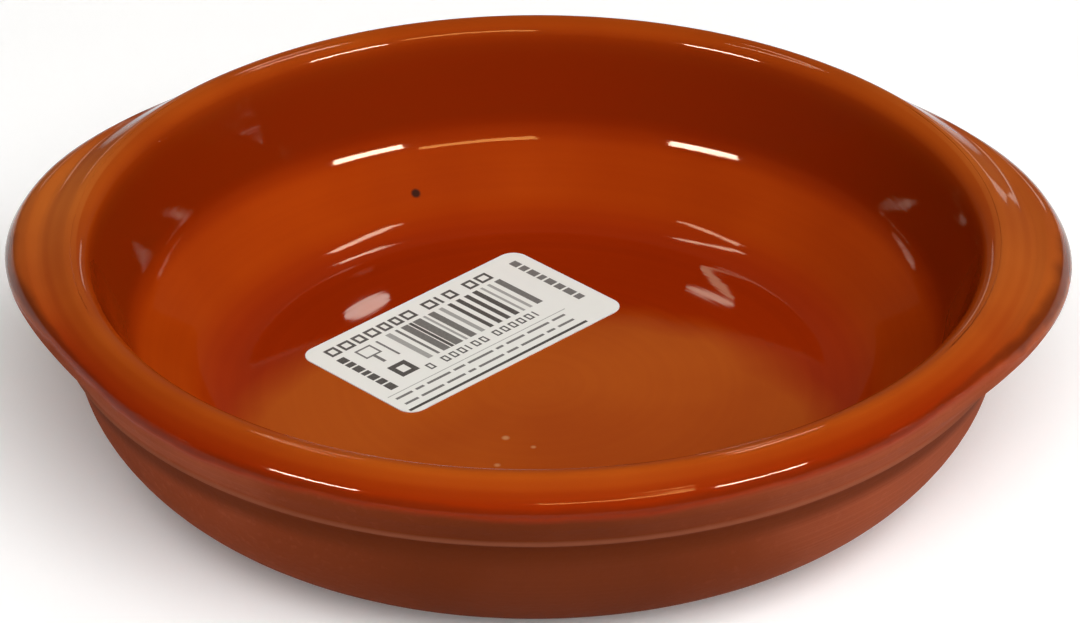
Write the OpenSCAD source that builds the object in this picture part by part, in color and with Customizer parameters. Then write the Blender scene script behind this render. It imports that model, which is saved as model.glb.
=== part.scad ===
// Round earthenware oven dish with a rolled rim and two crescent lugs,
// and the small paper label that is stuck to its floor.
// Millimetres. The base rests on z = 0, the lugs lie on the X axis.

/* [Dish] */
// Height from the base to the top of the rim
height = 32; // [28:0.5:40]
// Outside radius of the rim, without the lugs
rim_r = 70; // [66:0.5:78]
// Thickness of the floor
floor_t = 6; // [4:0.25:8]

/* [Rim] */
// Rounding of the rim's outer edge
rim_outer_round = 4.5; // [2:0.25:5]
// Rounding of the rim's inner edge
rim_inner_round = 2.4; // [1:0.1:3]
// Width of the flat that is left between the two roundings
rim_flat = 0.1; // [0.1:0.1:3]
// Height of the rim band, from the ridge to the top
band_h = 9.6; // [8:0.2:11]
// How far the band draws in from the rim to the ridge
band_taper = 1.6; // [0.8:0.1:2.4]
// How far the ridge stands out from the wall below it
ridge_step = 1.1; // [0.5:0.1:1.6]
// Height of the ridge's rounded bead
ridge_h = 1; // [0.6:0.1:1.6]

/* [Wall] */
// How far the outer wall leans in from the ridge down to the heel
wall_lean = 4; // [2:0.1:6]
// Height of the heel, where the wall would meet the slope from the base
heel_z = 5; // [4:0.25:7]
// How far the flat base lies inside the heel
base_inset = 13.3; // [12:0.1:18]
// Rounding of the heel
heel_round = 18; // [10:0.5:18]
// Rounding where the heel meets the flat base
base_round = 3; // [1:0.5:6]

/* [Inside] */
// Height of the bend between the steep wall and the slope to the floor
bend_z = 16; // [13:0.5:19]
// How far the steep wall leans in from the mouth down to the bend
bend_lean = 6; // [5:0.1:8]
// Rounding of the bend
bend_round = 9; // [3:0.5:12]
// How far the slope leans in from the bend down to the floor
slope_lean = 10.8; // [8:0.1:14]
// Rounding between the slope and the floor
floor_round = 12; // [6:0.5:16]

/* [Lugs] */
// How far each lug reaches beyond the rim
lug_reach = 6.2; // [4:0.2:12]
// Half of the angle over which each lug swells from the rim
lug_half_angle = 60; // [45:1:75]
// How fast the swelling gathers towards the lug's middle
lug_gather = 4; // [3:0.5:7]
// Drop from the rim's top to the lug's top
lug_drop = 0.2; // [0:0.1:1.4]
// Thickness of the lug near its edge
lug_t = 6.2; // [5:0.1:7.2]
// Share of that thickness that the upper rounding takes
lug_top_share = 0.54; // [0.45:0.01:0.6]
// Depth of the thumb valley between the rim and the lug's top
lug_valley = 1.2; // [0.4:0.1:1.8]
// How far the underside falls from the edge to the wall
lug_cove = 0.5; // [0.2:0.1:0.8]

/* [Label] */
// Length of the paper label
label_l = 44; // [30:0.5:48]
// Width of the paper label
label_w = 24; // [15:0.5:28]
// Thickness of the paper
label_t = 0.2; // [0.1:0.05:0.4]
// Rounding of the label's corners
label_round = 2.5; // [1:0.25:4]
// Direction in which the label lies from the middle of the floor
label_bearing = 129; // [-180:1:180]
// Gap between the label's outermost corner and the edge of the flat floor
label_gap = 3; // [1:0.5:8]
// Turn of the label on the floor
label_turn = 48; // [-180:1:180]

/* [Smoothness] */
// Steps in each rounded corner of the section
round_steps = 10; // [6:1:16]
// Sections along each lug
lug_steps = 32; // [20:2:40]

/* [Hidden] */
clay = [0.55, 0.24, 0.10];
paper = [0.93, 0.92, 0.88];
$fn = 180;

// Places on the dish's section, as [radius, height]
crest_r = rim_r - rim_outer_round - rim_flat;
wall_angle = atan(bend_lean / (height - bend_z));
mouth_r = crest_r - rim_inner_round / tan(45 + wall_angle / 2);
bend_r = mouth_r - bend_lean;
ridge_z = height - band_h;
ridge_r = rim_r - band_taper;
wall_top_r = ridge_r - ridge_step;
heel_r = wall_top_r - wall_lean;
base_r = heel_r - base_inset;
floor_r = bend_r - slope_lean;
slope_angle = atan((bend_z - floor_t) / slope_lean);
// radius at which the rounding of the floor's edge begins
flat_r = floor_r - floor_round * tan(slope_angle / 2);
// the band draws in below the rim's widest line
widest_z = height - rim_outer_round;

// The lug starts inside the rim, so that the two are one solid
lug_root_r = crest_r + 1;
lug_root_out = rim_r - 1;
lug_top_z = height - lug_drop;
lug_under_z = lug_top_z - lug_t;
lug_top_round = lug_t * lug_top_share;
lug_under_round = lug_t - lug_top_round;
lug_mid_z = lug_top_z - lug_top_round;
valley_steps = 6;
nose_steps = 6;

function unit(v) = v / norm(v);

// Arc of radius r that rounds the corner b between its neighbours a and c
function corner_arc(a, b, c, r) =
    let (
        u = unit(a - b),
        v = unit(c - b),
        half = acos(u * v) / 2,
        centre = b + unit(u + v) * r / sin(half),
        first = b + u * r / tan(half) - centre,
        last = b + v * r / tan(half) - centre,
        start = atan2(first[1], first[0]),
        sweep = (atan2(last[1], last[0]) - start + 540) % 360 - 180
    )
    [for (i = [0 : round_steps])
        centre + r * [cos(start + sweep * i / round_steps), sin(start + sweep * i / round_steps)]];

// Closed outline through corners given as [radius, height, rounding]
function rounded(corners) =
    let (n = len(corners), p = [for (c = corners) [c[0], c[1]]])
    [for (i = [0 : n - 1])
        each corners[i][2] == 0 ? [p[i]]
            : corner_arc(p[(i + n - 1) % n], p[i], p[(i + 1) % n], corners[i][2])];

// Half section of the dish, up its outside and down its inside
function dish_section() = rounded([
    [0, 0, 0],
    [base_r, 0, base_round],
    [heel_r, heel_z, heel_round],
    [wall_top_r, ridge_z - ridge_h, 0.6],
    [ridge_r, ridge_z - ridge_h / 2, ridge_h / 4],
    [ridge_r, ridge_z + ridge_h / 2, ridge_h / 2],
    [rim_r, widest_z - 1, rim_outer_round],
    [rim_r, height, rim_outer_round],
    [mouth_r, height, rim_inner_round],
    [bend_r, bend_z, bend_round],
    [floor_r, floor_t, floor_round],
    [0, floor_t, 0],
]);

// The lug swells from nothing at its ends to 1 in its middle
function swell(angle) = pow(1 - pow(angle / lug_half_angle, 2), lug_gather);

// Point at share t of the curve from a to c that is drawn towards b
function drawn(a, b, c, t) = a * pow(1 - t, 2) + b * 2 * t * (1 - t) + c * t * t;

function nose_point(centre, r, angle) = centre + r * [cos(angle), sin(angle)];

// Section of a lug where it has swollen by s: valley, rounded nose, coved underside
function lug_section(s) =
    let (
        out_r = lug_root_out + (lug_reach + rim_r - lug_root_out) * s,
        top = [out_r - lug_top_round, lug_mid_z],
        under = [out_r - lug_under_round, lug_mid_z],
        crest = [top[0], lug_top_z],
        root = [lug_root_r, lug_top_z - 1],
        low = [(root[0] + crest[0]) / 2, lug_top_z - 2 * lug_valley * s]
    )
    concat(
        [for (i = [0 : valley_steps - 1]) drawn(root, low, crest, i / valley_steps)],
        [for (i = [0 : nose_steps]) nose_point(top, lug_top_round, 90 - 90 * i / nose_steps)],
        [for (i = [1 : nose_steps]) nose_point(under, lug_under_round, -90 * i / nose_steps)],
        [[lug_root_r, lug_under_z - lug_cove]]
    );

module lug() {
    points_per_section = valley_steps + 2 * nose_steps + 2;
    points = [for (k = [0 : lug_steps])
        let (angle = lug_half_angle * (2 * k / lug_steps - 1))
        for (p = lug_section(swell(angle)))
            [p[0] * cos(angle), p[0] * sin(angle), p[1]]];
    sides = [for (k = [0 : lug_steps - 1], i = [0 : points_per_section - 1])
        let (
            j = (i + 1) % points_per_section,
            here = k * points_per_section,
            next = here + points_per_section
        )
        each [[here + i, next + i, next + j], [here + i, next + j, here + j]]];
    first_end = [for (i = [0 : points_per_section - 1]) i];
    last_end = [for (i = [points_per_section - 1 : -1 : 0]) lug_steps * points_per_section + i];
    polyhedron(points, concat(sides, [first_end, last_end]));
}

module dish() {
    color(clay)
    union() {
        rotate_extrude()
            polygon(dish_section());
        lug();
        mirror([1, 0, 0])
            lug();
    }
}

// Distance that the label can move along its bearing until a corner reaches the gap
function label_distance() =
    let (turn = label_turn - label_bearing, reach = flat_r - label_gap)
    min([for (x = [-label_l / 2, label_l / 2], y = [-label_w / 2, label_w / 2])
        let (
            along = x * cos(turn) - y * sin(turn),
            across = x * sin(turn) + y * cos(turn)
        )
        sqrt(reach * reach - across * across) - along]);

module label() {
    corner_x = label_l / 2 - label_round;
    corner_y = label_w / 2 - label_round;
    distance = label_distance();
    color(paper)
    translate([distance * cos(label_bearing), distance * sin(label_bearing), floor_t])
        rotate([0, 0, label_turn])
            linear_extrude(label_t)
                union() {
                    square([label_l, 2 * corner_y], center = true);
                    square([2 * corner_x, label_w], center = true);
                    for (x = [-corner_x, corner_x], y = [-corner_y, corner_y])
                        translate([x, y])
                            circle(label_round, $fn = 48);
                }
}

dish();
label();
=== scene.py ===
"""Glazed earthenware cazuela with two crescent lugs and a paper label stuck to its floor."""
from __future__ import annotations

import logging
import math
from dataclasses import dataclass, field
from enum import Enum
from functools import reduce
from typing import Iterable

import bmesh
import bpy
from mathutils import Matrix, Vector


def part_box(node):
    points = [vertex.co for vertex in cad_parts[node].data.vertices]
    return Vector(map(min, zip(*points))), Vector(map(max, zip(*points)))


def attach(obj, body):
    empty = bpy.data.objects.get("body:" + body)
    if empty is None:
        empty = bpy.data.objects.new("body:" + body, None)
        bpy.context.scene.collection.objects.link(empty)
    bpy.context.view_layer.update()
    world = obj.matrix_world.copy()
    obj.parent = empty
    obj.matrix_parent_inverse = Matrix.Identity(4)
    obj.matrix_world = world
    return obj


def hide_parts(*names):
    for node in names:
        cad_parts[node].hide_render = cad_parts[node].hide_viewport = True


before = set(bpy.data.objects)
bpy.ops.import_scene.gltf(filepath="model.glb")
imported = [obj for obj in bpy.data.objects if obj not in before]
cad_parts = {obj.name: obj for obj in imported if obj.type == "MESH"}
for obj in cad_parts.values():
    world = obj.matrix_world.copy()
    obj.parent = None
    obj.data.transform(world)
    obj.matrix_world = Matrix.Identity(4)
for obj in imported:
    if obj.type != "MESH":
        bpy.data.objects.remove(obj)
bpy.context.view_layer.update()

LOG = logging.getLogger("cazuela")
MM = 0.001
Colour = tuple[float, float, float]
Point = tuple[float, float, float]
Band = tuple[float, float, float, float]
Socket = bpy.types.NodeSocket


# Small tools

def finished(bm: bmesh.types.BMesh, name: str, is_smooth: bool = True) -> bpy.types.Object:
    """Turns a bmesh into an object at the origin.

    Args:
        bm: The finished bmesh, which is freed.
        name: Name of the new object and of its mesh.
        is_smooth: Whether its faces are shaded smooth.

    Returns:
        The linked object.
    """
    for face in bm.faces:
        face.smooth = is_smooth
    mesh = bpy.data.meshes.new(name)
    bm.to_mesh(mesh)
    bm.free()
    piece = bpy.data.objects.new(name, mesh)
    bpy.context.scene.collection.objects.link(piece)
    return piece


class Board:
    """Places and links the nodes of one node tree."""

    def __init__(self, tree: bpy.types.NodeTree) -> None:
        """Keeps the tree and clears it."""
        self.tree = tree
        tree.nodes.clear()

    def node(self, kind: str, feeds: dict[str | int, object] | None = None,
             **settings: object) -> bpy.types.Node:
        """Adds a node, sets its properties and feeds its inputs.

        Args:
            kind: The node's type.
            feeds: What goes into its inputs, by their names or indexes.
            settings: Its properties, by name.

        Returns:
            The node.
        """
        made = self.tree.nodes.new(kind)
        for key, value in settings.items():
            setattr(made, key, value)
        for key, value in (feeds or {}).items():
            self.feed(made.inputs[key], value)
        return made

    def feed(self, socket: Socket, value: object) -> None:
        """Links a socket into another, or sets its plain value.

        Args:
            socket: The input socket.
            value: An output socket, a number or a colour.
        """
        if isinstance(value, bpy.types.NodeSocket):
            self.tree.links.new(value, socket)
        elif isinstance(value, (tuple, list)) and len(value) == 3 and socket.type == "RGBA":
            socket.default_value = (*value, 1.0)
        else:
            socket.default_value = value

    def math(self, operation: str, *values: object, clamp: bool = False) -> Socket:
        """Adds a Math node, and gives its result; clamp holds that between 0 and 1."""
        return self.node("ShaderNodeMath", dict(enumerate(values)), operation=operation,
                         use_clamp=clamp).outputs[0]

    def vector(self, operation: str, *values: object) -> bpy.types.Node:
        """Adds a Vector Math node and returns it."""
        return self.node("ShaderNodeVectorMath", dict(enumerate(values)), operation=operation)

    def times(self, *values: object) -> Socket:
        """Multiplies two or more numbers."""
        return reduce(lambda product, value: self.math("MULTIPLY", product, value), values)

    def most(self, *values: object) -> Socket:
        """Gives the largest of several numbers."""
        return reduce(lambda largest, value: self.math("MAXIMUM", largest, value), values)

    def mix(self, share: object, first: object, second: object) -> Socket:
        """Mixes two colours; the share from 0 to 1 is the second one's."""
        return self.node("ShaderNodeMix", {0: share, 6: first, 7: second},
                         data_type="RGBA").outputs[2]

    def span(self, value: object, low: float, high: float,
             to_low: float = 0.0, to_high: float = 1.0) -> Socket:
        """Maps a value smoothly from one span to another, with its ends held.

        Args:
            value: The value to map.
            low: Start of its span.
            high: End of its span.
            to_low: Result at the start.
            to_high: Result at the end.

        Returns:
            The result's socket.
        """
        feeds = dict(enumerate((value, low, high, to_low, to_high)))
        return self.node("ShaderNodeMapRange", feeds, interpolation_type="SMOOTHSTEP",
                         clamp=True).outputs[0]

    def hill(self, value: Socket, band: Band) -> Socket:
        """Rises from 0 to 1 over a band's first two places, and falls over its last two."""
        foot, top, brow, end = band
        return self.times(self.span(value, foot, top), self.span(value, brow, end, 1.0, 0.0))

    def noise(self, where: Socket, scale: object, detail: float = 2.0) -> Socket:
        """Adds a noise texture, in patterns per metre."""
        feeds = {"Vector": where, "Scale": scale, "Detail": detail}
        return self.node("ShaderNodeTexNoise", feeds).outputs["Fac"]

    def sway(self, where: Socket, scale: float, size: float) -> Socket:
        """Gives noise that swings by half a size to each side of 0."""
        return self.math("MULTIPLY_ADD", self.noise(where, scale), size, -size / 2)

    def rings(self, run: Socket, scale: float, detail: float) -> Socket:
        """Adds noise along the section only, in patterns per millimetre."""
        feeds = {"W": run, "Scale": scale, "Detail": detail}
        return self.node("ShaderNodeTexNoise", feeds, noise_dimensions="1D").outputs["Fac"]

    def bump(self, relief: Socket, distance: float, strength: float = 1.0) -> Socket:
        """Turns a relief into a normal; a relief of 1 is as high as the distance, in metres."""
        feeds = {"Strength": strength, "Distance": distance, "Height": relief}
        return self.node("ShaderNodeBump", feeds).outputs["Normal"]

    def shade(self, feeds: dict[str | int, object]) -> None:
        """Ends a material with one Principled shader, whose inputs it feeds by name."""
        shader = self.node("ShaderNodeBsdfPrincipled", feeds)
        self.node("ShaderNodeOutputMaterial", {"Surface": shader.outputs["BSDF"]})

    def attribute(self, name: str) -> Socket:
        """Reads a number that the mesh carries."""
        return self.node("ShaderNodeAttribute", attribute_name=name).outputs["Fac"]

    def object_place(self) -> Socket:
        """Gives the place on the object, in metres."""
        return self.node("ShaderNodeTexCoord").outputs["Object"]

    def group(self, tree: bpy.types.NodeTree, **values: object) -> bpy.types.Node:
        """Places a shared effect and sets its inputs by name."""
        return self.node("ShaderNodeGroup", values, node_tree=tree)


def new_group(name: str, takes: dict[str, str], gives: dict[str, str]
              ) -> tuple[bpy.types.NodeTree, Board, bpy.types.Node, bpy.types.Node]:
    """Makes an empty node group.

    Args:
        name: The group's name.
        takes: Names and socket types of its inputs.
        gives: Names and socket types of its outputs.

    Returns:
        The tree, its board, its input node and its output node.
    """
    tree = bpy.data.node_groups.new(name, "ShaderNodeTree")
    for direction, sockets in (("INPUT", takes), ("OUTPUT", gives)):
        for label, kind in sockets.items():
            tree.interface.new_socket(name=label, in_out=direction, socket_type=kind)
    board = Board(tree)
    return tree, board, board.node("NodeGroupInput"), board.node("NodeGroupOutput")


def new_material(name: str) -> tuple[bpy.types.Material, Board]:
    """Makes an empty material.

    Args:
        name: The material's name.

    Returns:
        The material and its board.
    """
    material = bpy.data.materials.new(name)
    material.use_nodes = True
    return material, Board(material.node_tree)


# Shared effects

@dataclass(frozen=True)
class Effects:
    """The node groups that several finishes share."""

    spot: bpy.types.NodeTree
    mottle: bpy.types.NodeTree


def make_effects() -> Effects:
    """Builds each shared effect once.

    Returns:
        The effects.
    """
    takes = {"Place": "NodeSocketVector", "Centre": "NodeSocketVector",
             "Radius": "NodeSocketFloat", "Edge": "NodeSocketFloat"}
    spot, board, come, go = new_group("round_spot", takes, {"Mask": "NodeSocketFloat"})
    away = board.vector("DISTANCE", come.outputs["Place"], come.outputs["Centre"])
    reach = board.math("ADD", come.outputs["Radius"], come.outputs["Edge"])
    inside = board.math("SUBTRACT", reach, away.outputs["Value"])
    board.feed(go.inputs["Mask"], board.math("DIVIDE", inside, come.outputs["Edge"], clamp=True))

    takes = {"Place": "NodeSocketVector", "Broad": "NodeSocketFloat", "Fine": "NodeSocketFloat"}
    gives = {"Patches": "NodeSocketFloat", "Grains": "NodeSocketFloat"}
    mottle, board, come, go = new_group("mottle", takes, gives)
    for label, scale, detail in (("Patches", "Broad", 3.0), ("Grains", "Fine", 2.0)):
        noise = board.noise(come.outputs["Place"], come.outputs[scale], detail)
        board.feed(go.inputs[label], noise)
    return Effects(spot, mottle)


# Finishes

@dataclass(frozen=True)
class DishMasks:
    """Where the dish's finish changes, for its colours and its relief."""

    place: Socket
    lug: Socket
    past: Socket
    glazed: Socket
    patches: Socket
    grains: Socket
    rings: Socket
    fine_rings: Socket


@dataclass(frozen=True)
class Speck:
    """A small round mark that the kiln left. Sizes in metres."""

    centre: Point
    radius: float
    edge: float
    colour: Colour
    strength: float


@dataclass(frozen=True)
class GlazedClay:
    """Red clay under a clear honey glaze, bare outside below the rim band.

    Each share says how much of a tint shows where its mask is full. Places along the
    section and heights are in millimetres, places on the dish in metres. A scale counts a
    noise's patterns in a metre, or in a millimetre for the rings.
    """

    # The glaze, where it lies thin or gathers, and the painted light, shade and reflections on it
    glaze: Colour = (0.310, 0.0235, 0.0009)
    # Paler on the crest and lugs: partly thinner glaze, partly a painted reflection of the bright
    # room
    thin_glaze_and_reflection: Colour = (0.392, 0.072, 0.0052)
    lug_thinness_and_reflection: float = 0.8
    edge_thinness: float = 0.08
    middle_reflection: float = 0.95
    lug_glaze: Colour = (0.480, 0.120, 0.0150)
    lug_share: float = 0.75
    # Paler on the inner slope: painted light
    slope_painted_light: Colour = (0.385, 0.0475, 0.0020)
    slope_light_share: float = 0.8
    # Darker on the steep inner walls: painted shade
    shaded_wall_glaze: Colour = (0.188, 0.0172, 0.0006)
    wall_shade_share: float = 0.9
    # Darker where the glaze gathers, in random patches and along the rings, and on the floor
    # outside its middle, where it is a painted reflection of the dark far wall
    deep_glaze_and_dark_reflection: Colour = (0.215, 0.0125, 0.0004)
    gathered_share: float = 0.55
    patch_share: float = 0.35
    dark_reflection_share: float = 0.35
    streak_share: float = 0.22
    brink: Colour = (0.105, 0.0150, 0.0030)
    brink_band: Band = (0.1, 0.7, 0.9, 2.0)

    # The glaze's wavy lower edge
    wave: float = 2.6
    wave_scale: float = 34.0
    ripple: float = 0.8
    ripple_scale: float = 160.0
    edge_softness: float = 0.8

    # A painted reflection of the bright room: the pale middle of the floor
    middle: Point = (0.0014, -0.0218, 0.006)
    middle_reflection_radius: float = 0.0405
    middle_reflection_edge: float = 0.0070
    middle_reflection_wander: float = 0.006
    wander_scale: float = 60.0

    # Bare clay, with painted shade at the front and under the ridge, and a painted highlight on the
    # ridge
    bare: Colour = (0.225, 0.041, 0.0120)
    bare_dusty: Colour = (0.360, 0.090, 0.043)
    dust_share: float = 0.62
    grain_share: float = 0.25
    foot_share: float = 0.5
    foot_height: float = 3.2
    dusty_strip: Band = (-4.6, -3.6, -0.9, -0.3)
    strip_share: float = 0.6
    # Darker at the front and under the ridge: painted shade
    shaded_clay: Colour = (0.104, 0.0185, 0.0048)
    front_shade_centre: Point = (0.0045, -0.0660, 0.012)
    front_shade_radius: float = 0.016
    front_shade_edge: float = 0.034
    front_shade_share: float = 0.85
    # Painted shadow under the ridge
    under_ridge: Band = (16.5, 19.5, 20.6, 21.4)
    under_ridge_shadow_share: float = 0.75
    # Lighter on the ridge: a painted highlight
    ridge_highlight: Colour = (0.230, 0.078, 0.042)
    ridge_band: Band = (21.6, 22.1, 22.3, 22.9)
    ridge_highlight_share: float = 0.55

    # Specks
    iron: Colour = (0.030, 0.012, 0.008)
    light_speck: Colour = (0.62, 0.33, 0.14)

    # Gloss, and relief in millimetres
    bare_roughness: float = 0.80
    glaze_roughness: float = 0.055
    coat: float = 0.15
    ring_relief: float = 0.008
    ring_scale: float = 0.55
    fine_ring_relief: float = 0.002
    fine_ring_scale: float = 2.4
    uneven_relief: float = 0.009
    uneven_scale: float = 120.0
    grain_relief: float = 0.10
    glaze_relief: float = 0.06

    def make(self, effects: Effects) -> bpy.types.Material:
        """Builds the material.

        Args:
            effects: The shared node groups.

        Returns:
            The material.
        """
        material, board = new_material("glazed_clay")
        at = self.masks(board, effects)
        colour = board.mix(at.glazed, self.clay_colour(board, effects, at),
                           self.glaze_colour(board, effects, at))
        for speck in self.specks():
            spot = board.group(effects.spot, Place=at.place, Centre=speck.centre,
                               Radius=speck.radius, Edge=speck.edge)
            colour = board.mix(board.times(spot.outputs["Mask"], speck.strength),
                               colour, speck.colour)
        normal = board.bump(self.relief(board, at), MM)
        board.shade({
            "Base Color": colour,
            "Roughness": board.span(at.glazed, 0.0, 1.0, self.bare_roughness,
                                    self.glaze_roughness),
            "Coat Weight": board.times(at.glazed, self.coat),
            "Coat Roughness": 0.04,
            "Coat IOR": 1.5,
            "IOR": 1.46,
            "Specular IOR Level": 0.06,
            "Specular Tint": (1.0, 0.5, 0.15),
            "Normal": normal,
            "Coat Normal": normal,
        })
        return material

    def masks(self, board: Board, effects: Effects) -> DishMasks:
        """Finds how far each place lies past the glaze's edge, and how the surface varies.

        Args:
            board: The material's board.
            effects: The shared node groups.

        Returns:
            The masks.
        """
        place = board.object_place()
        run = board.attribute("run")
        mottle = board.group(effects.mottle, Place=place, Broad=26.0, Fine=900.0).outputs
        shift = board.math("ADD", board.sway(place, self.wave_scale, self.wave),
                           board.sway(place, self.ripple_scale, self.ripple))
        past = board.math("ADD", board.attribute("edge"), shift)
        return DishMasks(
            place=place,
            lug=board.attribute("swell"),
            past=past,
            glazed=board.span(past, -self.edge_softness, self.edge_softness),
            patches=mottle["Patches"],
            grains=mottle["Grains"],
            rings=board.rings(run, self.ring_scale, detail=3.0),
            fine_rings=board.rings(run, self.fine_ring_scale, detail=2.0),
        )

    def glaze_colour(self, board: Board, effects: Effects, at: DishMasks) -> Socket:
        """Mixes the glaze, paler where it is thin and darker where it gathers, with painted light,
        shade and reflections.

        Args:
            board: The material's board.
            effects: The shared node groups.
            at: The masks.

        Returns:
            The colour's socket.
        """
        slope = board.attribute("slope")
        floor = board.attribute("floor")
        wander = board.sway(at.place, self.wander_scale, self.middle_reflection_wander)
        wandered = board.vector("ADD", at.place, wander)
        middle = board.group(effects.spot, Place=wandered.outputs["Vector"], Centre=self.middle,
                             Radius=self.middle_reflection_radius, Edge=self.middle_reflection_edge)
        # Painted reflection of the bright room in the floor's middle
        pale = board.times(middle.outputs["Mask"], floor)
        near_edge = board.span(at.past, -0.2, 3.2, 1.0, 0.0)
        # Thin glaze near its edge, and painted reflections on the crest, lugs and the floor's
        # middle
        thinness_and_reflection = board.most(board.attribute("crest"), board.times(at.lug, self.lug_thinness_and_reflection),
                              board.times(near_edge, self.edge_thinness),
                              board.times(pale, self.middle_reflection))
        # Painted shade on the steep walls
        wall = board.times(board.attribute("wall"), self.wall_shade_share)

        # Painted light on the slope
        colour = board.mix(board.times(slope, self.slope_light_share), self.glaze, self.slope_painted_light)
        colour = board.mix(wall, colour, self.shaded_wall_glaze)
        colour = board.mix(thinness_and_reflection, colour, self.thin_glaze_and_reflection)
        colour = board.mix(board.times(at.lug, self.lug_share), colour, self.lug_glaze)

        gathered = board.times(board.span(at.past, 1.0, 6.0, self.gathered_share, 0.0),
                               board.span(at.lug, 0.0, 0.6, 1.0, 0.0))
        patches = board.span(at.patches, 0.36, 0.68, 0.0, self.patch_share)
        # Painted reflection of the dark far wall on the floor outside its middle
        dark_reflection = board.times(floor, board.math("SUBTRACT", 1.0, pale), self.dark_reflection_share)
        streaks = board.times(board.span(at.rings, 0.3, 0.7, 0.0, self.streak_share),
                              board.span(pale, 0.0, 1.0, 0.8, 0.25),
                              board.span(slope, 0.0, 1.0, 1.0, 0.45))
        for depth in (gathered, patches, dark_reflection, streaks):
            colour = board.mix(depth, colour, self.deep_glaze_and_dark_reflection)
        brink = board.times(board.hill(at.past, self.brink_band),
                            board.span(at.lug, 0.1, 0.5, 0.5, 0.8))
        return board.mix(brink, colour, self.brink)

    def clay_colour(self, board: Board, effects: Effects, at: DishMasks) -> Socket:
        """Mixes the bare clay, with its dust and grains, painted shade at the front and under the
        ridge, and a painted highlight on the ridge.

        Args:
            board: The material's board.
            effects: The shared node groups.
            at: The masks.

        Returns:
            The colour's socket.
        """
        height = board.attribute("height")
        dust = board.times(board.span(at.patches, 0.43, 0.63),
                           board.span(at.fine_rings, 0.25, 0.75, 0.55, 1.0), self.dust_share)
        grains = board.span(at.grains, 0.55, 0.75, 0.0, self.grain_share)
        # Painted shade at the front
        mark = board.group(effects.spot, Place=at.place, Centre=self.front_shade_centre,
                           Radius=self.front_shade_radius, Edge=self.front_shade_edge)
        front_shade = board.times(mark.outputs["Mask"], self.front_shade_share)
        # Painted shadow under the ridge
        shadow = board.times(board.hill(height, self.under_ridge), self.under_ridge_shadow_share)
        strip = board.times(board.hill(at.past, self.dusty_strip),
                            board.span(at.lug, 0.15, 0.6, 0.0, self.strip_share))
        # Painted highlight on the ridge
        ridge = board.times(board.hill(height, self.ridge_band), self.ridge_highlight_share)
        foot = board.span(height, 0.0, self.foot_height, self.foot_share, 0.0)

        colour = board.mix(dust, self.bare, self.bare_dusty)
        for share, tint in ((grains, self.bare_dusty), (front_shade, self.shaded_clay),
                            (shadow, self.shaded_clay), (strip, self.bare_dusty),
                            (ridge, self.ridge_highlight), (foot, self.bare_dusty)):
            colour = board.mix(share, colour, tint)
        return colour

    def relief(self, board: Board, at: DishMasks) -> Socket:
        """Gives the relief: the thrower's rings, an uneven glaze, and grains on bare clay.

        Args:
            board: The material's board.
            at: The masks.

        Returns:
            The relief's socket, in millimetres.
        """
        bare_grains = board.times(at.grains, board.math("SUBTRACT", 1.0, at.glazed))
        uneven = board.noise(at.place, self.uneven_scale, detail=1.0)
        relief = board.times(at.rings, self.ring_relief)
        for part, depth in ((at.fine_rings, self.fine_ring_relief),
                            (uneven, self.uneven_relief),
                            (bare_grains, self.grain_relief), (at.glazed, self.glaze_relief)):
            relief = board.math("MULTIPLY_ADD", part, depth, relief)
        return relief

    def specks(self) -> Iterable[Speck]:
        """Gives the specks: one of iron on the slope and three pale ones on the floor.

        Returns:
            The specks.
        """
        yield Speck((-0.0213, 0.0474, 0.0106), 0.0005, 0.0004, self.iron, 0.95)
        yield Speck((-0.0035, -0.0151, 0.006), 0.0003, 0.0004, self.light_speck, 0.5)
        yield Speck((0.0006, -0.0174, 0.006), 0.0002, 0.0003, self.light_speck, 0.4)
        yield Speck((-0.0042, -0.0225, 0.006), 0.0002, 0.0004, self.light_speck, 0.4)


@dataclass(frozen=True)
class LabelPaper:
    """Coated white paper printed in one dark ink."""

    paper: Colour = (0.80, 0.805, 0.76)
    shaded: float = 0.86
    shading: float = 0.10
    ink: Colour = (0.022, 0.022, 0.021)
    worn: float = 0.94
    grain_mm: float = 0.02

    def make(self, effects: Effects) -> bpy.types.Material:
        """Builds the material.

        Args:
            effects: The shared node groups.

        Returns:
            The material.
        """
        material, board = new_material("label_paper")
        place = board.object_place()
        mottle = board.group(effects.mottle, Place=place, Broad=90.0, Fine=2600.0).outputs
        sheet = board.mix(board.span(mottle["Patches"], 0.35, 0.7, 0.0, self.shading),
                          self.paper, tuple(self.shaded * c for c in self.paper))
        print_left = board.span(mottle["Grains"], 0.3, 0.75, 1.0, self.worn)
        printed = board.times(board.attribute("ink"), print_left)
        board.shade({
            "Base Color": board.mix(printed, sheet, self.ink),
            "Roughness": board.span(mottle["Patches"], 0.3, 0.7, 0.42, 0.52),
            "Normal": board.bump(mottle["Grains"], self.grain_mm * MM, 0.5),
        })
        return material


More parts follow.
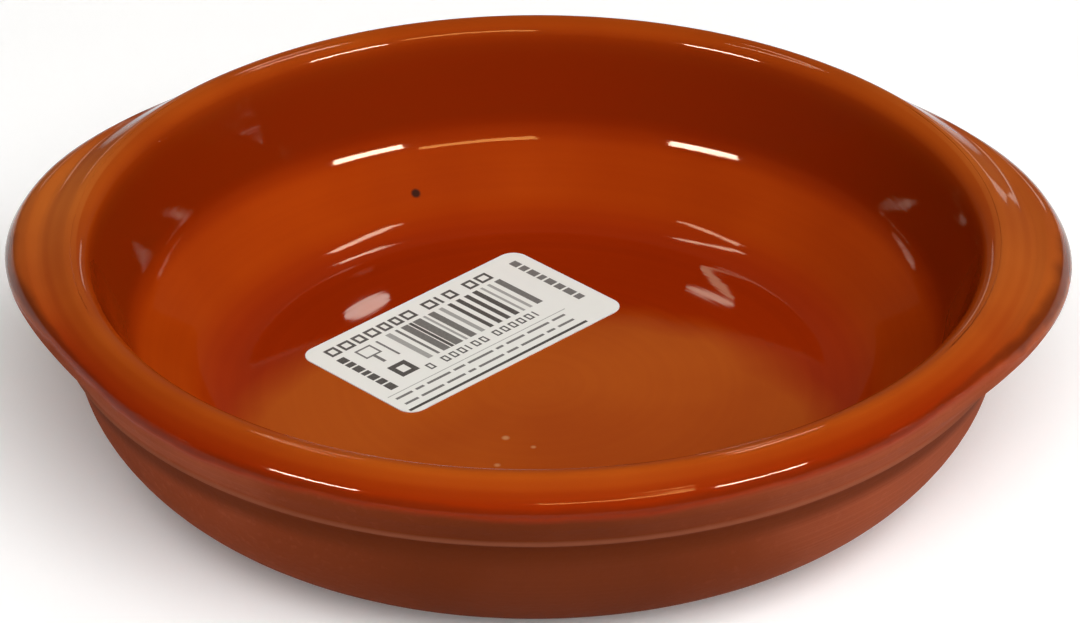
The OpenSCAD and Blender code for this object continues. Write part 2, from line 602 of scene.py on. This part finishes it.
@dataclass(frozen=True)
class PaleFloor:
    """The studio's plain pale floor."""

    colour: Colour = (0.99, 0.99, 0.99)
    shaded: float = 0.95
    seen_glow: float = 0.13

    def make(self, effects: Effects) -> bpy.types.Material:
        """Builds the material.

        Args:
            effects: The shared node groups.

        Returns:
            The material.
        """
        material, board = new_material("pale_floor")
        mottle = board.group(effects.mottle, Place=board.object_place(), Broad=3.0, Fine=400.0)
        colour = board.mix(board.span(mottle.outputs["Patches"], 0.3, 0.7, 0.0, 0.05),
                           self.colour, tuple(self.shaded * c for c in self.colour))
        ray = board.node("ShaderNodeLightPath").outputs
        mirrored = board.math("ADD", ray["Is Glossy Ray"], ray["Is Transmission Ray"])
        seen = board.math("ADD", ray["Is Camera Ray"], mirrored)
        board.shade({
            "Base Color": colour,
            "Roughness": 0.9,
            "Specular IOR Level": 0.1,
            "Emission Color": (1.0, 1.0, 1.0),
            "Emission Strength": board.times(seen, self.seen_glow),
        })
        return material


# The dish

@dataclass(frozen=True)
class Corner:
    """One corner of the dish's half section, in millimetres."""

    radius: float
    height: float
    rounding: float = 0.0
    steps: int = 1

    def point(self) -> Vector:
        """Gives the corner's place in the section's plane, in metres."""
        return Vector((self.radius * MM, 0.0, self.height * MM))


@dataclass(frozen=True)
class LugStation:
    """A point of the lug's full section, and the share of the band that it grows from."""

    share: float
    radius: float
    height: float


def share_in(value: float, band: Band) -> float:
    """Rises from 0 to 1 over a band's first two places, and falls over its last two."""
    foot, top, brow, end = band
    return min(max((value - foot) / (top - foot), 0.0), max((end - value) / (end - brow), 0.0), 1.0)


@dataclass
class Cazuela:
    """The thrown dish with its banded, rolled rim and two crescent lugs.

    Sizes are in millimetres and angles in degrees.
    """

    height: float = 32.0
    rim_r: float = 70.0
    floor_t: float = 6.0
    rim_outer_round: float = 4.5
    crest_run: float = 1.0
    crest_round: float = 1.5
    shoulder_drop: float = 3.6
    shoulder_round: float = 3.0
    belly_drop: float = 1.5
    belly_round: float = 4.0
    mouth_r: float = 63.74
    rim_inner_round: float = 3.0
    rim_flat: float = 0.1
    band_h: float = 9.6
    band_taper: float = 1.6
    ridge_step: float = 1.1
    ridge_h: float = 1.0
    ridge_root_round: float = 0.6
    ridge_under_round: float = 0.35
    ridge_top_round: float = 0.7
    wall_lean: float = 4.0
    heel_z: float = 5.0
    base_inset: float = 13.3
    heel_round: float = 18.0
    base_round: float = 3.0
    bend_z: float = 16.0
    bend_lean: float = 6.0
    bend_round: float = 9.0
    slope_lean: float = 10.8
    floor_round: float = 12.0
    right_lug_half_angle: float = 49.0
    left_lug_half_angle: float = 43.5
    lug_gather: float = 2.63
    lug_set_back: float = 4.6
    lug_fulness: float = 0.5

    # Hand-made unevenness: the mouth's oval, each sway's share, lobes and phase, and the dip
    mouth_oval: float = 0.6
    sways: tuple[tuple[float, int, float], ...] = ((0.0004, 2, 0.3), (0.0008, 3, 1.1))
    dip: float = 0.10
    dip_phase: float = 2.0

    # Where the finish changes
    band_start: float = 1.2
    glaze_edge_z: float = 27.3
    lug_glaze_drop: float = 1.6
    crest_spread: float = 3.5
    floor_edge: float = 46.0
    floor_fade: float = 3.0
    slope_band: Band = (6.6, 9.1, 14.5, 18.5)
    wall_band: Band = (15.0, 19.0, 29.2, 31.2)
    swell_end: float = 1.0

    turns: int = 288
    longest_step: float = 1.3

    lug_stations: tuple[LugStation, ...] = (
        LugStation(0.00, 65.5, 32.0),
        LugStation(0.10, 66.6, 31.95),
        LugStation(0.22, 68.1, 31.5),
        LugStation(0.33, 69.3, 30.95),
        LugStation(0.42, 70.3, 30.6),
        LugStation(0.51, 71.4, 30.75),
        LugStation(0.58, 72.6, 30.85),
        LugStation(0.66, 74.4, 30.0),
        LugStation(0.75, 75.9, 27.7),
        LugStation(0.83, 75.4, 26.3),
        LugStation(0.90, 73.7, 25.55),
        LugStation(0.96, 70.6, 25.2),
        LugStation(1.00, 68.55, 23.9),
    )

    def crest_r(self) -> float:
        """Gives the radius at which the rim's outer rounding meets its crest."""
        return self.rim_r - self.rim_outer_round - self.rim_flat

    def corners(self) -> list[Corner]:
        """Gives the corners of the half section, up its outside and down its inside.

        Returns:
            The corners.
        """
        crest_r = self.crest_r()
        bend_r = self.mouth_r - self.bend_lean
        floor_r = bend_r - self.slope_lean
        ridge_z = self.height - self.band_h
        ridge_r = self.rim_r - self.band_taper
        wall_r = ridge_r - self.ridge_step
        heel_r = wall_r - self.wall_lean
        half = self.ridge_h / 2
        return [
            Corner(0, 0),
            Corner(heel_r - self.base_inset, 0, self.base_round, 8),
            Corner(heel_r, self.heel_z, self.heel_round, 14),
            Corner(wall_r, ridge_z - self.ridge_h, self.ridge_root_round, 5),
            Corner(ridge_r, ridge_z - half, self.ridge_under_round, 4),
            Corner(ridge_r, ridge_z + half, self.ridge_top_round, 5),
            Corner(self.rim_r, self.height - self.rim_outer_round - self.belly_drop,
                   self.belly_round, 6),
            Corner(self.rim_r, self.height - self.shoulder_drop, self.shoulder_round, 14),
            Corner(crest_r + self.crest_run, self.height, self.crest_round, 14),
            Corner(self.mouth_r, self.height, self.rim_inner_round, 16),
            Corner(bend_r, self.bend_z, self.bend_round, 14),
            Corner(floor_r, self.floor_t, self.floor_round, 16),
            Corner(0, self.floor_t),
        ]

    def draw_section(self, bm: bmesh.types.BMesh) -> None:
        """Draws the half section as a wire, with each corner rounded by a bevel.

        Args:
            bm: The bmesh to draw in.
        """
        corners = self.corners()
        wire = [bm.verts.new(corner.point()) for corner in corners]
        for lower, upper in zip(wire, wire[1:]):
            bm.edges.new((lower, upper))
        for before, corner, after in zip(corners, corners[1:], corners[2:]):
            here = corner.point()
            half = (before.point() - here).angle(after.point() - here) / 2
            nearest = min(bm.verts, key=lambda vert: (vert.co - here).length)
            bmesh.ops.bevel(bm, geom=[nearest], offset=corner.rounding * MM / math.tan(half),
                            offset_type="OFFSET", segments=corner.steps, profile=0.5,
                            affect="VERTICES", material=-1, clamp_overlap=False)
        step = self.longest_step * MM
        for edge in list(bm.edges):
            cuts = int(edge.calc_length() / step)
            if cuts:
                bmesh.ops.subdivide_edges(bm, edges=[edge], cuts=cuts)

    def mark_section(self, bm: bmesh.types.BMesh) -> None:
        """Writes on each point of the wire how far along the section it lies, in millimetres.

        Args:
            bm: The bmesh that holds the wire.
        """
        run = bm.verts.layers.float.new("run")
        here = min(bm.verts, key=lambda vert: vert.co.x + vert.co.z)
        before, length = None, 0.0
        while here is not None:
            here[run] = length
            neighbours = (edge.other_vert(here) for edge in here.link_edges)
            onward = [vert for vert in neighbours if vert is not before]
            before, here = here, onward[0] if onward else None
            if here is not None:
                length += (here.co - before.co).length / MM

    def band_ends(self, bm: bmesh.types.BMesh) -> tuple[float, float, float]:
        """Finds the runs where the lugs' band starts, at the glaze's edge and at the crest.

        Args:
            bm: The bmesh that holds the wire.

        Returns:
            The three runs, in millimetres.
        """
        run = bm.verts.layers.float["run"]
        outer = [v for v in bm.verts if v.co.x > self.crest_r() * MM]
        band_z = self.height - self.band_h + self.band_start
        low = min(outer, key=lambda v: abs(v.co.z / MM - band_z))
        glaze = min(outer, key=lambda v: abs(v.co.z / MM - self.glaze_edge_z))
        # Of points equally high, the innermost is the crest
        crest = max(outer, key=lambda v: v.co.z - 1e-4 * v.co.x)
        return low[run], glaze[run], crest[run]

    def lug_shift(self, share: float, plain: dict[float, Vector]) -> Vector:
        """Gives how far the full lug carries a point of the band.

        Args:
            share: Place on the band, 0 at the crest and 1 above the ridge.
            plain: Where the plain section has each station's share.

        Returns:
            The shift in radius and height, in millimetres.
        """
        stations = self.lug_stations
        last = len(stations) - 1
        index = max(i for i in range(last) if stations[i].share <= share)
        shifts = []
        for i in (index - 1, index, index + 1, index + 2):
            station = stations[min(max(i, 0), last)]
            shifts.append(Vector((station.radius, station.height)) - plain[station.share])
        low, high = stations[index].share, stations[index + 1].share
        t = (share - low) / (high - low)
        a, b, c, d = shifts
        tangent_in = (c - a) / 2
        tangent_out = (d - b) / 2
        return (b * (2 * t ** 3 - 3 * t ** 2 + 1) + tangent_in * (t ** 3 - 2 * t ** 2 + t)
                + c * (3 * t ** 2 - 2 * t ** 3) + tangent_out * (t ** 3 - t ** 2))

    def press_lugs(self, bm: bmesh.types.BMesh, low_run: float, crest_run: float,
                   profile: list[tuple[float, Vector]]) -> None:
        """Draws the band out into the two lugs.

        Args:
            bm: The spun dish.
            low_run: Run at which the band starts, above the ridge.
            crest_run: Run at the crest.
            profile: Run and place of each point of the plain section.
        """
        run = bm.verts.layers.float["run"]
        swell = bm.verts.layers.float["swell"]
        plain: dict[float, Vector] = {}
        for station in self.lug_stations:
            wanted = crest_run + (low_run - crest_run) * station.share
            above = [p for p in profile if p[0] >= wanted] or [profile[-1]]
            below = [p for p in profile if p[0] <= wanted] or [profile[0]]
            first, second = below[-1], above[0]
            gap = max(second[0] - first[0], 1e-9)
            plain[station.share] = first[1].lerp(second[1], (wanted - first[0]) / gap)
        shifts: dict[float, Vector] = {}
        for vert in bm.verts:
            share = (vert[run] - crest_run) / (low_run - crest_run)
            if not 0.0 < share < 1.0 or vert[swell] <= 0.0:
                continue
            key = round(share, 5)
            if key not in shifts:
                shifts[key] = self.lug_shift(share, plain)
            angle = math.atan2(vert.co.y, vert.co.x)
            out = shifts[key][0] * vert[swell] * MM
            rise = shifts[key][1] * vert[swell] ** self.lug_fulness * MM
            vert.co += Vector((out * math.cos(angle), out * math.sin(angle), rise))

    def swell_at(self, place: Vector) -> float:
        """Gives how far a lug has swollen at a place around the dish, from 0 to 1.

        Args:
            place: The place, of which only the direction counts.

        Returns:
            The swelling.
        """
        angle = math.degrees(math.atan2(place.y, abs(place.x))) - self.lug_set_back
        half = self.right_lug_half_angle if place.x > 0 else self.left_lug_half_angle
        share = abs(angle) / half
        return (1.0 - share * share) ** self.lug_gather if share < 1.0 else 0.0

    def hand_sway(self, bm: bmesh.types.BMesh) -> None:
        """Moves the dish by the small unevenness of a thrown pot.

        Args:
            bm: The spun dish with its lugs.
        """
        for vert in bm.verts:
            angle = math.atan2(vert.co.y, vert.co.x)
            up = max(vert.co.z / (self.height * MM), 0.0)
            sway = sum(size * math.cos(lobes * angle + phase) for size, lobes, phase in self.sways)
            oval = self.mouth_oval / self.rim_r * math.cos(angle) ** 2
            vert.co.x *= 1.0 + up * (sway + oval)
            vert.co.y *= 1.0 + up * (sway + oval)
            vert.co.z += up * self.dip * MM * (math.cos(2 * angle + self.dip_phase) - 1.0)

    def mark_finish(self, bm: bmesh.types.BMesh, glaze_run: float, crest_run: float) -> None:
        """Writes on each point what the finish needs to know of its place.

        Args:
            bm: The spun dish, before its lugs are drawn out.
            glaze_run: Run at the glaze's lower edge.
            crest_run: Run at the crest.
        """
        layers = bm.verts.layers.float
        names = ("run", "swell", "edge", "crest", "height", "floor", "slope", "wall")
        for name in names[1:]:
            layers.new(name)
        run, swell, edge, crest, height, floor, slope, wall = (layers[name] for name in names)
        for vert in bm.verts:
            out = math.hypot(vert.co.x, vert.co.y) / MM
            up = vert.co.z / MM
            inside = 1.0 if vert[run] > crest_run else 0.0
            vert[swell] = self.swell_at(vert.co)
            vert[edge] = vert[run] - (glaze_run - self.lug_glaze_drop * vert[swell])
            vert[crest] = math.exp(-((vert[run] - crest_run) / self.crest_spread) ** 2)
            vert[height] = up
            vert[floor] = inside * min(max((self.floor_edge - out) / self.floor_fade, 0.0), 1.0)
            vert[slope] = inside * share_in(up, self.slope_band)
            vert[wall] = inside * share_in(up, self.wall_band)

    def build(self) -> bpy.types.Object:
        """Builds the dish as one closed mesh.

        Returns:
            The dish, riding on the root body in place of its CAD node.
        """
        bm = bmesh.new()
        self.draw_section(bm)
        self.mark_section(bm)
        low_run, glaze_run, crest_run = self.band_ends(bm)
        run = bm.verts.layers.float["run"]
        profile = sorted(((v[run], Vector((v.co.x / MM, v.co.z / MM))) for v in bm.verts),
                         key=lambda point: point[0])
        bmesh.ops.spin(bm, geom=list(bm.verts) + list(bm.edges), cent=(0, 0, 0), axis=(0, 0, 1),
                       dvec=(0, 0, 0), angle=2 * math.pi, steps=self.turns,
                       use_merge=True, use_duplicate=False)
        bmesh.ops.remove_doubles(bm, verts=list(bm.verts), dist=0.002 * MM)
        self.mark_finish(bm, glaze_run, crest_run)
        self.press_lugs(bm, low_run, crest_run, profile)
        self.hand_sway(bm)
        run, swell = bm.verts.layers.float["run"], bm.verts.layers.float["swell"]
        for vert in bm.verts:
            if vert[run] > crest_run + self.swell_end or vert[run] < low_run:
                vert[swell] = 0.0
        bmesh.ops.recalc_face_normals(bm, faces=list(bm.faces))
        dish = finished(bm, "dish_body")
        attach(dish, "root")
        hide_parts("dish")
        return dish


# The label

class Ink(Enum):
    """How dark a printed mark is."""

    BLACK = 1.0
    DARK = 0.97
    GREY = 0.86
    FAINT = 0.6


@dataclass(frozen=True)
class Mark:
    """One printed field on the label, in millimetres from its upper left corner."""

    left: float
    top: float
    right: float
    bottom: float
    ink: Ink = Ink.BLACK


@dataclass
class PaperLabel:
    """The stuck paper label, printed with plain bars, dashes and frames. Sizes in millimetres."""

    length: float = 44.0
    width: float = 24.0
    thickness: float = 0.14
    rounding: float = 2.5
    turn: float = 48.0
    floor_z: float = 6.0

    def row(self, left: float, top: float, height: float, widths: Iterable[float],
            gap: float, ink: Ink) -> Iterable[Mark]:
        """Prints a row of blocks; a negative width leaves a space of that size.

        Args:
            left: Left edge of the row.
            top: Its top edge.
            height: Its height.
            widths: The blocks' widths.
            gap: Gap after each block.
            ink: How dark the blocks are.

        Returns:
            The printed fields.
        """
        for width in widths:
            if width > 0:
                yield Mark(left, top, left + width, top + height, ink)
                left += width + gap
            else:
                left -= width

    def column(self, left: float, top: float, width: float, heights: Iterable[float],
               gap: float, ink: Ink) -> Iterable[Mark]:
        """Prints a column of blocks, as a row with its sides changed over."""
        for block in self.row(top, left, width, heights, gap, ink):
            yield Mark(block.top, block.left, block.bottom, block.right, ink)

    def frames(self, left: float, top: float, height: float, widths: Iterable[float],
               gap: float, stroke: float, ink: Ink) -> Iterable[Mark]:
        """Prints a row of open frames; a negative width leaves a space of that size.

        Args:
            left: Left edge of the row.
            top: Its top edge.
            height: Its height.
            widths: The frames' widths.
            gap: Gap after each frame.
            stroke: Width of their lines.
            ink: How dark the lines are.

        Returns:
            The printed fields.
        """
        for outer in self.row(left, top, height, widths, gap, ink):
            yield Mark(outer.left, outer.top, outer.left + stroke, outer.bottom, ink)
            if outer.right - outer.left > 3 * stroke:
                yield Mark(outer.right - stroke, outer.top, outer.right, outer.bottom, ink)
                yield Mark(outer.left, outer.top, outer.right, outer.top + stroke, ink)
                yield Mark(outer.left, outer.bottom - stroke, outer.right, outer.bottom, ink)

    def marks(self) -> Iterable[Mark]:
        """Gives every printed field.

        Returns:
            The printed fields.
        """
        heading = (2.1, 2.2, 1.9, 2.1, 1.8, 1.7, 2.2, -1.6, 2.2, 1.0, 2.0, -1.6, 2.0, 2.4)
        yield from self.frames(3.1, 1.9, 2.2, heading, 0.55, 0.5, Ink.DARK)
        yield from self.column(2.8, 5.1, 1.5, (1.5, 1.1, 1.6, 0.9, 1.5, 1.3, 1.8), 0.35, Ink.DARK)
        yield from self.frames(6.3, 5.2, 2.8, (3.1,), 0.0, 0.35, Ink.GREY)
        yield Mark(7.5, 8.0, 8.1, 10.3, Ink.GREY)
        yield Mark(10.5, 5.2, 10.9, 10.3, Ink.GREY)
        yield from self.frames(6.6, 11.9, 3.5, (3.4,), 0.0, 0.9, Ink.DARK)
        bars = ((12.8, 1.0, Ink.FAINT), (14.7, 0.5, Ink.GREY), (15.9, 1.4, Ink.GREY),
                (17.5, 0.6, Ink.DARK), (18.3, 1.6, Ink.GREY), (20.4, 0.5, Ink.FAINT),
                (21.4, 1.3, Ink.GREY), (23.6, 0.8, Ink.FAINT), (25.4, 0.8, Ink.DARK),
                (27.1, 0.9, Ink.DARK), (28.8, 0.9, Ink.DARK), (30.5, 1.0, Ink.DARK),
                (32.2, 0.5, Ink.FAINT), (33.6, 0.6, Ink.FAINT), (35.1, 1.2, Ink.GREY))
        for left, width, ink in bars:
            yield Mark(left, 4.9, left + width, 14.2, ink)
        digits = (1.1, -1.4, 1.1, 1.1, 1.1, 0.6, 1.1, 1.1, -1.0, 1.1, 1.1, 1.1, 1.1, 1.1, 0.6)
        yield from self.frames(11.0, 15.2, 1.6, digits, 0.55, 0.3, Ink.DARK)
        yield Mark(1.0, 18.0, 37.0, 18.15, Ink.FAINT)
        words = (3.2, 1.6, 4.6, 2.2, 5.0, 1.4, 3.6, 4.4, 2.6)
        yield from self.row(1.6, 19.0, 0.5, words, 0.7, Ink.GREY)
        yield from self.row(1.6, 20.9, 0.5, reversed(words), 0.7, Ink.GREY)
        yield Mark(0.8, 22.6, 36.8, 23.15, Ink.BLACK)
        side = (1.6, 1.3, 1.8, 1.1, 1.7, 1.5, 1.9, 1.3)
        yield from self.column(40.4, 2.6, 1.4, side, 0.4, Ink.GREY)

    def stencil(self, bm: bmesh.types.BMesh, mark: Mark) -> None:
        """Cuts a field's outline into the sheet and inks the faces inside it.

        Args:
            bm: The flat sheet, centred on the origin.
            mark: The field.
        """
        ink = bm.faces.layers.float["ink"]
        left = (mark.left - self.length / 2) * MM
        right = (mark.right - self.length / 2) * MM
        top = (self.width / 2 - mark.top) * MM
        bottom = (self.width / 2 - mark.bottom) * MM
        across, along = Vector((1, 0, 0)), Vector((0, 1, 0))
        lines = ((across * left, across), (across * right, across),
                 (along * top, along), (along * bottom, along))
        for place, normal in lines:
            near = [f for f in bm.faces if self.meets(f, left, right, bottom, top)]
            # A dict keeps the order, so that each run cuts alike
            geom = dict.fromkeys(near)
            for face in near:
                geom.update(dict.fromkeys((*face.edges, *face.verts)))
            bmesh.ops.bisect_plane(bm, geom=list(geom), dist=1e-7, plane_co=place, plane_no=normal)
        for face in bm.faces:
            middle = face.calc_center_bounds()
            if left < middle.x < right and bottom < middle.y < top:
                face[ink] = mark.ink.value

    @staticmethod
    def meets(face: bmesh.types.BMFace, left: float, right: float, bottom: float,
              top: float) -> bool:
        """Says whether a face's bounds overlap a field."""
        xs, ys = zip(*(v.co.xy for v in face.verts))
        return min(xs) < right and max(xs) > left and min(ys) < top and max(ys) > bottom

    def build(self) -> bpy.types.Object:
        """Builds the label as one thin closed sheet.

        Returns:
            The label, riding on the root body in place of its CAD node.
        """
        bm = bmesh.new()
        size = Matrix.Diagonal((self.length / 2 * MM, self.width / 2 * MM, 1.0, 1.0))
        bmesh.ops.create_grid(bm, x_segments=1, y_segments=1, size=1.0, matrix=size)
        bmesh.ops.bevel(bm, geom=list(bm.verts), offset=self.rounding * MM, offset_type="OFFSET",
                        segments=8, profile=0.5, affect="VERTICES", material=-1,
                        clamp_overlap=False)
        bm.faces.layers.float.new("ink")
        for mark in self.marks():
            self.stencil(bm, mark)
        ink = bm.faces.layers.float["ink"]
        grown = bmesh.ops.extrude_face_region(bm, geom=list(bm.faces), use_keep_orig=True)
        bmesh.ops.translate(bm, vec=(0, 0, self.thickness * MM),
                            verts=[g for g in grown["geom"] if isinstance(g, bmesh.types.BMVert)])
        bmesh.ops.recalc_face_normals(bm, faces=list(bm.faces))
        for face in bm.faces:
            if face.normal.z < 0.5:
                face[ink] = 0.0
        low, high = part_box("label")
        middle = (low + high) / 2
        bmesh.ops.rotate(bm, verts=list(bm.verts), cent=(0, 0, 0),
                         matrix=Matrix.Rotation(math.radians(self.turn), 3, "Z"))
        bmesh.ops.translate(bm, verts=list(bm.verts), vec=(middle.x, middle.y, self.floor_z * MM))
        label = finished(bm, "label_sheet", is_smooth=False)
        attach(label, "root")
        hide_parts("label")
        return label


# The studio

def direction(azimuth: float, elevation: float) -> Vector:
    """Gives a direction from its azimuth and elevation in degrees; 0, 0 is the front."""
    around, rise = math.radians(azimuth), math.radians(elevation)
    return Vector((math.sin(around) * math.cos(rise), -math.cos(around) * math.cos(rise),
                   math.sin(rise)))


@dataclass(frozen=True)
class Viewpoint:
    """The photograph's camera. Angles in degrees; the picture is 1080 by 623."""

    focal_px: float = 5500.0
    picture_px: float = 1080.0
    sensor_mm: float = 36.0
    distance: float = 0.800307
    elevation: float = 31.477
    turn: float = 3.7
    yaw: float = 0.04
    pitch: float = 1.12
    roll: float = -0.379

    @staticmethod
    def turned(first: Vector, second: Vector, degrees: float) -> tuple[Vector, Vector]:
        """Turns two axes in their plane, the first one towards the second."""
        cos, sin = math.cos(math.radians(degrees)), math.sin(math.radians(degrees))
        return cos * first + sin * second, cos * second - sin * first

    def place(self) -> None:
        """Makes the camera and gives it to the scene."""
        where = direction(0.0, self.elevation) * self.distance
        ahead = -where.normalized()
        right = Vector((1, 0, 0))
        up = right.cross(ahead)
        ahead, right = self.turned(ahead, right, self.yaw)
        ahead, up = self.turned(ahead, up, self.pitch)
        right, up = self.turned(right, up, self.roll)
        axes = Matrix((right, up, -ahead)).transposed().to_4x4()
        data = bpy.data.cameras.new("photo_camera")
        data.sensor_width = self.sensor_mm
        data.lens = self.focal_px / self.picture_px * self.sensor_mm
        data.clip_start = 0.05
        camera = bpy.data.objects.new("photo_camera", data)
        bpy.context.scene.collection.objects.link(camera)
        around = Matrix.Rotation(math.radians(self.turn), 4, "Z")
        camera.matrix_world = around @ Matrix.Translation(where) @ axes
        bpy.context.scene.camera = camera


class Reach(Enum):
    """What a lamp adds: the sheen on glaze, or the even light."""

    GLOSS = "gloss"
    SHADE = "shade"


class LampFace(Enum):
    """The outline of a lamp's face."""

    RECTANGLE = "RECTANGLE"
    ELLIPSE = "ELLIPSE"


@dataclass(frozen=True)
class Lamp:
    """A soft box, seen from the dish. Angles in degrees, distance and aim in metres.

    Azimuth 0 stands behind the camera and grows to the right, and tilt turns the lamp in
    its own plane. It looks at its aim, which is the dish's middle where none is given.
    """

    name: str
    azimuth: float
    elevation: float
    width_deg: float
    height_deg: float
    radiance: float
    colour: Colour = (1.0, 1.0, 1.0)
    reach: Reach = Reach.GLOSS
    tilt: float = 0.0
    distance: float = 1.6
    face: LampFace = LampFace.RECTANGLE
    spread: float = 180.0
    aim: Point = (0.0, 0.0, 0.0)

    def place(self, turn: float) -> None:
        """Makes the lamp.

        Args:
            turn: Turn of the camera about the dish, in degrees.
        """
        data = bpy.data.lights.new(self.name, "AREA")
        data.shape = self.face.value
        data.spread = math.radians(self.spread)
        data.size = 2 * self.distance * math.tan(math.radians(self.width_deg / 2))
        data.size_y = 2 * self.distance * math.tan(math.radians(self.height_deg / 2))
        data.energy = self.radiance * math.pi * data.size * data.size_y
        data.color = self.colour
        lamp = bpy.data.objects.new(self.name, data)
        bpy.context.scene.collection.objects.link(lamp)
        turned = Matrix.Rotation(math.radians(turn), 3, "Z")
        lamp.location = turned @ direction(self.azimuth, self.elevation) * self.distance
        toward = lamp.location - turned @ Vector(self.aim)
        rolled = Matrix.Rotation(math.radians(self.tilt), 3, "Z")
        lamp.rotation_euler = (toward.to_track_quat("Z", "Y").to_matrix() @ rolled).to_euler()
        lamp.visible_diffuse = self.reach is Reach.SHADE
        lamp.visible_glossy = self.reach is Reach.GLOSS
        lamp.visible_camera = False


@dataclass(frozen=True)
class Glow:
    """One soft lobe of the room's light, towards a direction seen from the camera's side."""

    azimuth: float
    elevation: float
    strength: float
    tightness: float
    colour: Colour = (1.0, 1.0, 1.0)


@dataclass
class Studio:
    """Pale floor, soft room light, lamps and the camera."""

    viewpoint: Viewpoint = field(default_factory=Viewpoint)
    ambient: Colour = (0.045, 0.044, 0.043)
    glows: tuple[Glow, ...] = (
        Glow(0.0, 90.0, 0.05, 2.0, (1.0, 0.97, 0.93)),
        Glow(180.0, 30.0, 0.14, 6.0, (1.0, 0.75, 0.45)),
    )
    lamps: tuple[Lamp, ...] = (
        Lamp("left_window", -53.0, 34.5, 18.0, 5.5, 140.0, (1.0, 0.93, 0.80), tilt=16.0),
        Lamp("warm_window", 20.0, 50.0, 27.0, 5.0, 33.0, (1.0, 0.68, 0.22)),
        Lamp("right_window", 54.0, 38.5, 18.0, 5.5, 140.0, (1.0, 0.93, 0.80), tilt=-15.0),
        Lamp("far_right_strip", 131.0, 64.0, 15.0, 2.4, 46.0, (1.0, 0.88, 0.72), tilt=-52.0),
        Lamp("far_right_glint", 162.0, 54.5, 5.5, 2.2, 32.0, (1.0, 0.90, 0.72), tilt=84.0),
        Lamp("far_left_strip", -121.0, 64.0, 14.0, 2.4, 32.0, (1.0, 0.82, 0.60), tilt=45.0),
        Lamp("far_left_glint", -150.0, 59.0, 9.5, 2.0, 28.0, (1.0, 0.88, 0.68), tilt=-18.0),
        Lamp("right_glint", 88.0, 3.9, 21.0, 0.3, 34.0, (1.0, 0.95, 0.90), tilt=-13.0),
        Lamp("left_glint", -86.0, 4.0, 16.0, 0.3, 14.0, (1.0, 0.90, 0.80), tilt=11.0),
        Lamp("far_right_backdrop", 162.0, 14.0, 10.0, 4.0, 2.6, (1.0, 0.92, 0.82)),
        Lamp("far_left_backdrop", -168.0, 16.0, 14.0, 4.0, 1.6, (1.0, 0.92, 0.82)),
        # Small lamps inside the bowl, for the pale patches that its wall throws on the floor
        Lamp("left_patch", -151.7, 21.0, 7.5, 2.4, 0.15, (1.0, 0.93, 0.85), tilt=24.6,
             distance=0.0588, face=LampFace.ELLIPSE, spread=26.0, aim=(-0.0251, 0.0224, 0.006)),
        Lamp("right_patch_far", 150.0, 17.1, 7.3, 1.2, 0.06, (1.0, 0.88, 0.58), tilt=-44.5,
             distance=0.0581, face=LampFace.ELLIPSE, spread=26.0, aim=(0.0271, 0.0291, 0.006)),
        Lamp("right_patch_near", 150.6, 19.3, 8.0, 1.2, 0.10, (1.0, 0.90, 0.70), tilt=-20.0,
             distance=0.0577, face=LampFace.ELLIPSE, spread=26.0, aim=(0.0259, 0.0250, 0.006)),
        Lamp("top_softbox", 0.0, 88.0, 100.0, 100.0, 0.11, reach=Reach.SHADE),
        Lamp("right_softbox", 82.0, 44.0, 56.0, 56.0, 0.65, reach=Reach.SHADE),
        Lamp("left_softbox", -80.0, 26.0, 50.0, 40.0, 0.06, reach=Reach.SHADE),
        Lamp("front_softbox", 17.0, 50.0, 56.0, 40.0, 4.5, reach=Reach.SHADE),
    )
    floor_half: float = 3.0

    def light_room(self) -> None:
        """Makes the world's soft light from its glows."""
        world = bpy.data.worlds.new("studio_room")
        world.use_nodes = True
        bpy.context.scene.world = world
        board = Board(world.node_tree)
        toward = board.node("ShaderNodeTexCoord").outputs["Generated"]
        total: object = self.ambient
        for glow in self.glows:
            axis = direction(glow.azimuth + self.viewpoint.turn, glow.elevation)
            facing = board.vector("DOT_PRODUCT", toward, tuple(axis)).outputs["Value"]
            half = board.math("MULTIPLY_ADD", facing, 0.5, 0.5, clamp=True)
            shine = board.times(board.math("POWER", half, glow.tightness), glow.strength)
            lit = board.vector("SCALE", glow.colour)
            board.feed(lit.inputs["Scale"], shine)
            total = board.vector("ADD", total, lit.outputs["Vector"]).outputs["Vector"]
        background = board.node("ShaderNodeBackground", {"Color": total})
        board.node("ShaderNodeOutputWorld", {"Surface": background.outputs["Background"]})

    def lay_floor(self, effects: Effects) -> None:
        """Lays the plain floor under the dish.

        Args:
            effects: The shared node groups.
        """
        bm = bmesh.new()
        bmesh.ops.create_grid(bm, x_segments=1, y_segments=1, size=self.floor_half)
        floor = finished(bm, "studio_floor", is_smooth=False)
        floor.data.materials.append(PaleFloor().make(effects))

    def build(self, effects: Effects) -> None:
        """Builds the whole studio.

        Args:
            effects: The shared node groups.
        """
        self.viewpoint.place()
        self.light_room()
        for lamp in self.lamps:
            lamp.place(self.viewpoint.turn)
        self.lay_floor(effects)
        bpy.context.scene.view_settings.view_transform = "Standard"


def main() -> None:
    """Builds the dish, its label and the studio."""
    logging.basicConfig(level=logging.INFO, format="%(name)s: %(message)s")
    effects = make_effects()
    dish = Cazuela().build()
    dish.data.materials.append(GlazedClay().make(effects))
    label = PaperLabel().build()
    label.data.materials.append(LabelPaper().make(effects))
    for piece in (dish, label):
        LOG.info("%s has %d faces", piece.name, len(piece.data.polygons))
    Studio().build(effects)
    bpy.context.view_layer.update()


if __name__ == "__main__":
    main()
